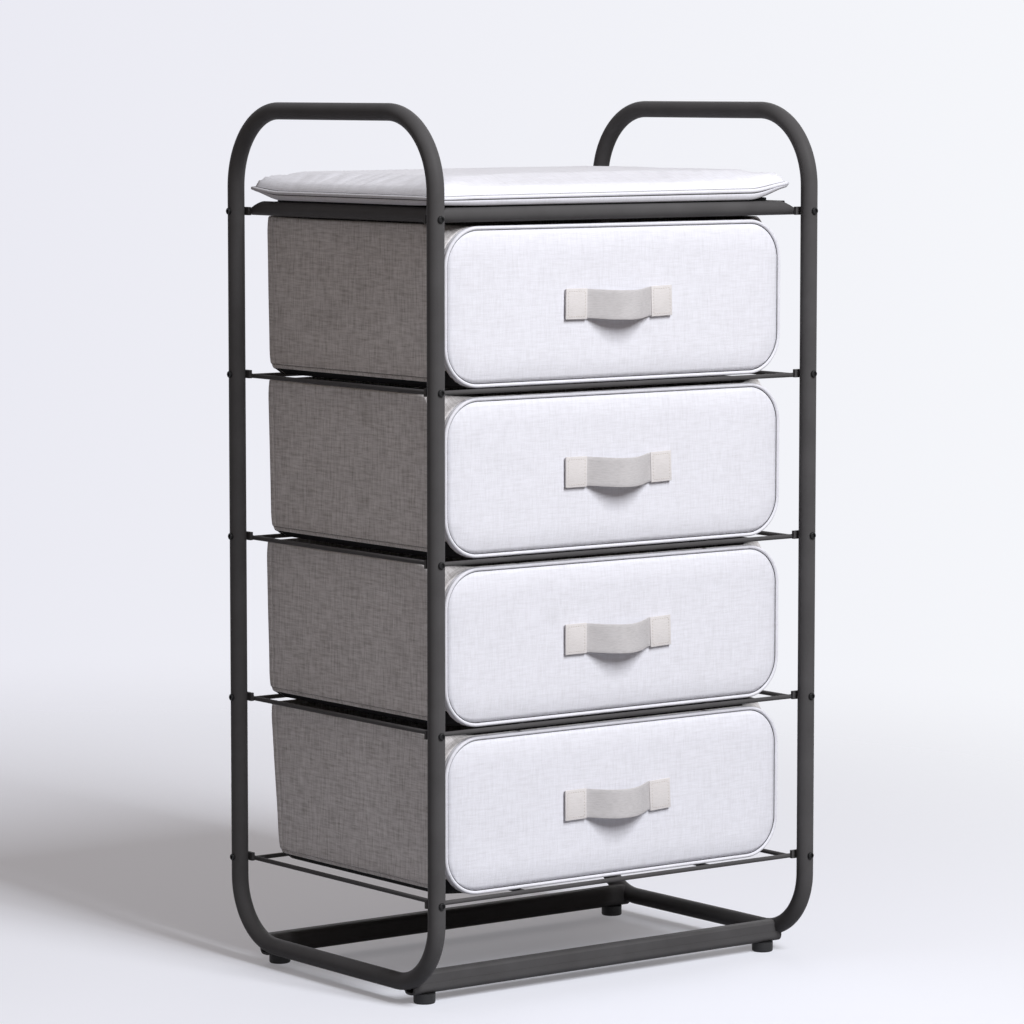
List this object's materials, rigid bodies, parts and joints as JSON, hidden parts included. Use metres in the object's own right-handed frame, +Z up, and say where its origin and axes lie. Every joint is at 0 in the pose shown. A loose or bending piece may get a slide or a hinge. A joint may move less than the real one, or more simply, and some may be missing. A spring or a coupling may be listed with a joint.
{
  "type": "fabric drawer dresser",
  "caption": "Tall narrow dresser: rounded tube loops joined by rails and wire shelves, soft fabric drawers with strap handles that pull out, and a padded cushion on top.",
  "frame": {"origin": "middle of the bounding box at floor level", "axes": "+X to the right seen from the front, +Y towards the back, +Z up; drawers pull out along -Y"},
  "size_m": [0.5414, 0.3992, 0.968],
  "materials": {
    "frame_coat": "satin charcoal powder coat",
    "screw_coat": "black oxide",
    "foot_plastic": "matt moulded plastic",
    "dark_board": "thin dark faced fibreboard",
    "cushion_fabric": "pale woven linen look",
    "drawer_fabric": "pale woven linen look with slubs",
    "insert_board": "grey board",
    "strap_webbing": "soft warm webbing"
  },
  "bodies": {
    "frame": {"left_top_bow": "frame_coat", "left_bottom_bow": "frame_coat", "left_front_post": "frame_coat", "left_rear_post": "frame_coat", "foot_front_left": "foot_plastic", "foot_rear_left": "foot_plastic", "screw_front_left_0": "screw_coat", "screw_rear_left_0": "screw_coat", "screw_front_left_1": "screw_coat", "screw_rear_left_1": "screw_coat", "screw_front_left_2": "screw_coat", "screw_rear_left_2": "screw_coat", "screw_front_left_3": "screw_coat", "screw_rear_left_3": "screw_coat", "screw_front_left_4": "screw_coat", "screw_rear_left_4": "screw_coat", "right_top_bow": "frame_coat", "right_bottom_bow": "frame_coat", "right_front_post": "frame_coat", "right_rear_post": "frame_coat", "foot_front_right": "foot_plastic", "foot_rear_right": "foot_plastic", "screw_front_right_0": "screw_coat", "screw_rear_right_0": "screw_coat", "screw_front_right_1": "screw_coat", "screw_rear_right_1": "screw_coat", "screw_front_right_2": "screw_coat", "screw_rear_right_2": "screw_coat", "screw_front_right_3": "screw_coat", "screw_rear_right_3": "screw_coat", "screw_front_right_4": "screw_coat", "screw_rear_right_4": "screw_coat", "top_rail_front": "frame_coat", "top_rail_rear": "frame_coat", "top_rail_left": "frame_coat", "top_rail_right": "frame_coat", "base_rail_front": "frame_coat", "base_rail_rear": "frame_coat", "shelf_frame_1": "frame_coat", "shelf_frame_2": "frame_coat", "shelf_frame_3": "frame_coat", "shelf_frame_4": "frame_coat", "top_board": "dark_board"},
    "drawer_1": {"drawer_1_front": "drawer_fabric", "drawer_1_shell": "drawer_fabric", "drawer_1_insert": "insert_board", "drawer_1_strap": "strap_webbing"},
    "drawer_2": {"drawer_2_front": "drawer_fabric", "drawer_2_shell": "drawer_fabric", "drawer_2_insert": "insert_board", "drawer_2_strap": "strap_webbing"},
    "drawer_3": {"drawer_3_front": "drawer_fabric", "drawer_3_shell": "drawer_fabric", "drawer_3_insert": "insert_board", "drawer_3_strap": "strap_webbing"},
    "drawer_4": {"drawer_4_front": "drawer_fabric", "drawer_4_shell": "drawer_fabric", "drawer_4_insert": "insert_board", "drawer_4_strap": "strap_webbing"},
    "cushion": {"cushion": "cushion_fabric"}
  },
  "joints": [
    {"name": "drawer_1_slide", "type": "slide", "parent": "frame", "child": "drawer_1", "axis": [0, -1, 0], "range_m": [0, 0.26]},
    {"name": "drawer_2_slide", "type": "slide", "parent": "frame", "child": "drawer_2", "axis": [0, -1, 0], "range_m": [0, 0.26]},
    {"name": "drawer_3_slide", "type": "slide", "parent": "frame", "child": "drawer_3", "axis": [0, -1, 0], "range_m": [0, 0.26]},
    {"name": "drawer_4_slide", "type": "slide", "parent": "frame", "child": "drawer_4", "axis": [0, -1, 0], "range_m": [0, 0.26]},
    {"name": "cushion_lift", "type": "slide", "parent": "frame", "child": "cushion", "axis": [0, 0, 1], "range_m": [0, 0.12]}
  ]
}
